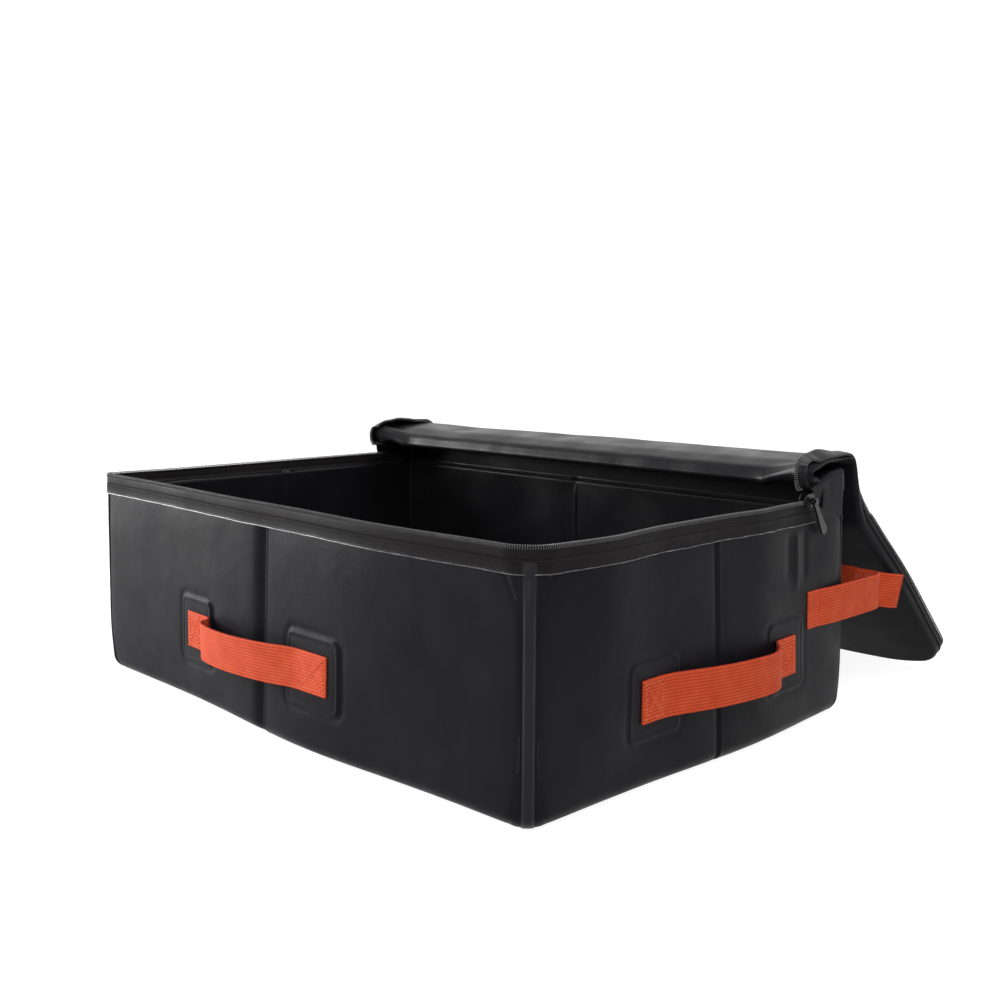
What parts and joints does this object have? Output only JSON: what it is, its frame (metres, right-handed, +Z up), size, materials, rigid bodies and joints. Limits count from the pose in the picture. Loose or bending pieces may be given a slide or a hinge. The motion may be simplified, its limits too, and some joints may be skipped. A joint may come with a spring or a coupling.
{
  "type": "portable litter box",
  "caption": "Folding rectangular box of welded coated fabric with boards in its walls, webbing handles, and a shallow zip-on lid shown folded back over the rear wall.",
  "frame": {"origin": "middle of the tub's underside, on the surface that the box stands on", "axes": "+X along the long walls to the wall with the zip slider, +Y to the rear wall where the lid is joined, +Z up"},
  "size_m": [0.487, 0.4842, 0.1839],
  "materials": {
    "coated_fabric": "satin coated weave",
    "weld_tape": "satin welded tape",
    "embossed_patch": "matt coated, embossed",
    "liner": "smooth coated, satin",
    "padded_liner": "smooth coated, satin, foam behind",
    "board": "hollow board",
    "webbing": "ribbed woven webbing",
    "hook_tape": "hook tape",
    "zip_tape": "coated tape",
    "zip_coil": "nylon coil",
    "slider_metal": "black lacquer, worn",
    "pull_metal": "dark chrome"
  },
  "bodies": {
    "tub": {"back_board_left": "board", "back_board_right": "board", "back_liner": "liner", "back_skin": "coated_fabric", "corner_weld_strips": "weld_tape", "floor_board_back_left": "board", "floor_board_back_right": "board", "floor_board_front_left": "board", "floor_board_front_right": "board", "floor_liner": "liner", "floor_skin": "coated_fabric", "front_board_left": "board", "front_board_right": "board", "front_handle_ends": "webbing", "front_handle_patches": "embossed_patch", "front_liner": "liner", "front_skin": "coated_fabric", "hold_strap_seam": "webbing", "left_board_back": "board", "left_board_front": "board", "left_handle_ends": "webbing", "left_handle_patches": "embossed_patch", "left_liner": "liner", "left_skin": "coated_fabric", "lid_back_strip_liner": "padded_liner", "lid_back_strip_skin": "coated_fabric", "lid_back_strip_zip": "zip_coil", "rear_hinge_skin": "coated_fabric", "right_board_back": "board", "right_board_front": "board", "right_handle_ends": "webbing", "right_handle_patches": "embossed_patch", "right_liner": "liner", "right_skin": "coated_fabric", "rim_weld_band": "weld_tape", "tub_zip_coil": "zip_coil", "zip_stops": "zip_tape", "zip_tape_front": "zip_tape", "zip_tape_left": "zip_tape", "zip_tape_right": "zip_tape"},
    "lid_fold": {"lid_fold_liner": "padded_liner", "lid_fold_skin": "coated_fabric", "lid_fold_zip": "zip_coil"},
    "lid_rear": {"lid_rear_liner": "padded_liner", "lid_rear_skin": "coated_fabric", "lid_rear_zip": "zip_coil"},
    "lid_front": {"lid_front_board": "board", "lid_front_liner": "liner", "lid_front_skin": "coated_fabric", "lid_front_zip_coil": "zip_coil", "lid_front_zip_tape": "zip_tape", "lid_strap": "webbing"},
    "zip_slider": {"zip_slider": "slider_metal"},
    "zip_pull": {"zip_pull": "pull_metal"},
    "front_handle": {"front_handle_grip": "webbing"},
    "right_handle": {"right_handle_grip": "webbing"},
    "left_handle": {"left_handle_grip": "webbing"},
    "hold_strap": {"hold_strap": "webbing", "hold_strap_hook_patch": "hook_tape"}
  },
  "joints": [
    {"name": "lid_fold_hinge", "type": "hinge", "parent": "tub", "child": "lid_fold", "pos_m": [0, 0.116, 0.165], "axis": [1, 0, 0], "range_deg": [0, 174]},
    {"name": "lid_crest_hinge", "type": "hinge", "parent": "lid_fold", "child": "lid_rear", "pos_m": [0, 0.16573, 0.17023], "axis": [1, 0, 0], "range_deg": [0, 74]},
    {"name": "lid_crease_hinge", "type": "hinge", "parent": "lid_rear", "child": "lid_front", "pos_m": [0, 0.1894, 0.11831], "axis": [1, 0, 0], "range_deg": [-22.86, 0]},
    {"name": "zip_slide", "type": "slide", "parent": "tub", "child": "zip_slider", "axis": [0, -1, 0], "range_m": [0, 0.246]},
    {"name": "pull_hinge", "type": "hinge", "parent": "zip_slider", "child": "zip_pull", "pos_m": [0.2294, 0.109, 0.1506], "axis": [0, -1, 0], "range_deg": [0, 150]},
    {"name": "front_handle_lift", "type": "hinge", "parent": "tub", "child": "front_handle", "pos_m": [0, -0.15501, 0.053], "axis": [1, 0, 0], "range_deg": [-35, 35], "stiffness_Nm_per_rad": 0.02},
    {"name": "right_handle_lift", "type": "hinge", "parent": "tub", "child": "right_handle", "pos_m": [0.22651, 0, 0.053], "axis": [0, 1, 0], "range_deg": [-35, 35], "stiffness_Nm_per_rad": 0.02},
    {"name": "left_handle_lift", "type": "hinge", "parent": "tub", "child": "left_handle", "pos_m": [-0.22651, 0, 0.053], "axis": [0, 1, 0], "range_deg": [-35, 35], "stiffness_Nm_per_rad": 0.02},
    {"name": "hold_strap_swing", "type": "hinge", "parent": "tub", "child": "hold_strap", "pos_m": [0.22731, 0.1207, 0.078], "axis": [0, 0, -1], "range_deg": [0, 90]}
  ],
  "couplings": [
    {"joint": "lid_crest_hinge", "follows": "lid_fold_hinge", "ratio": 0.42529},
    {"joint": "lid_crease_hinge", "follows": "lid_fold_hinge", "ratio": -0.1314}
  ]
}
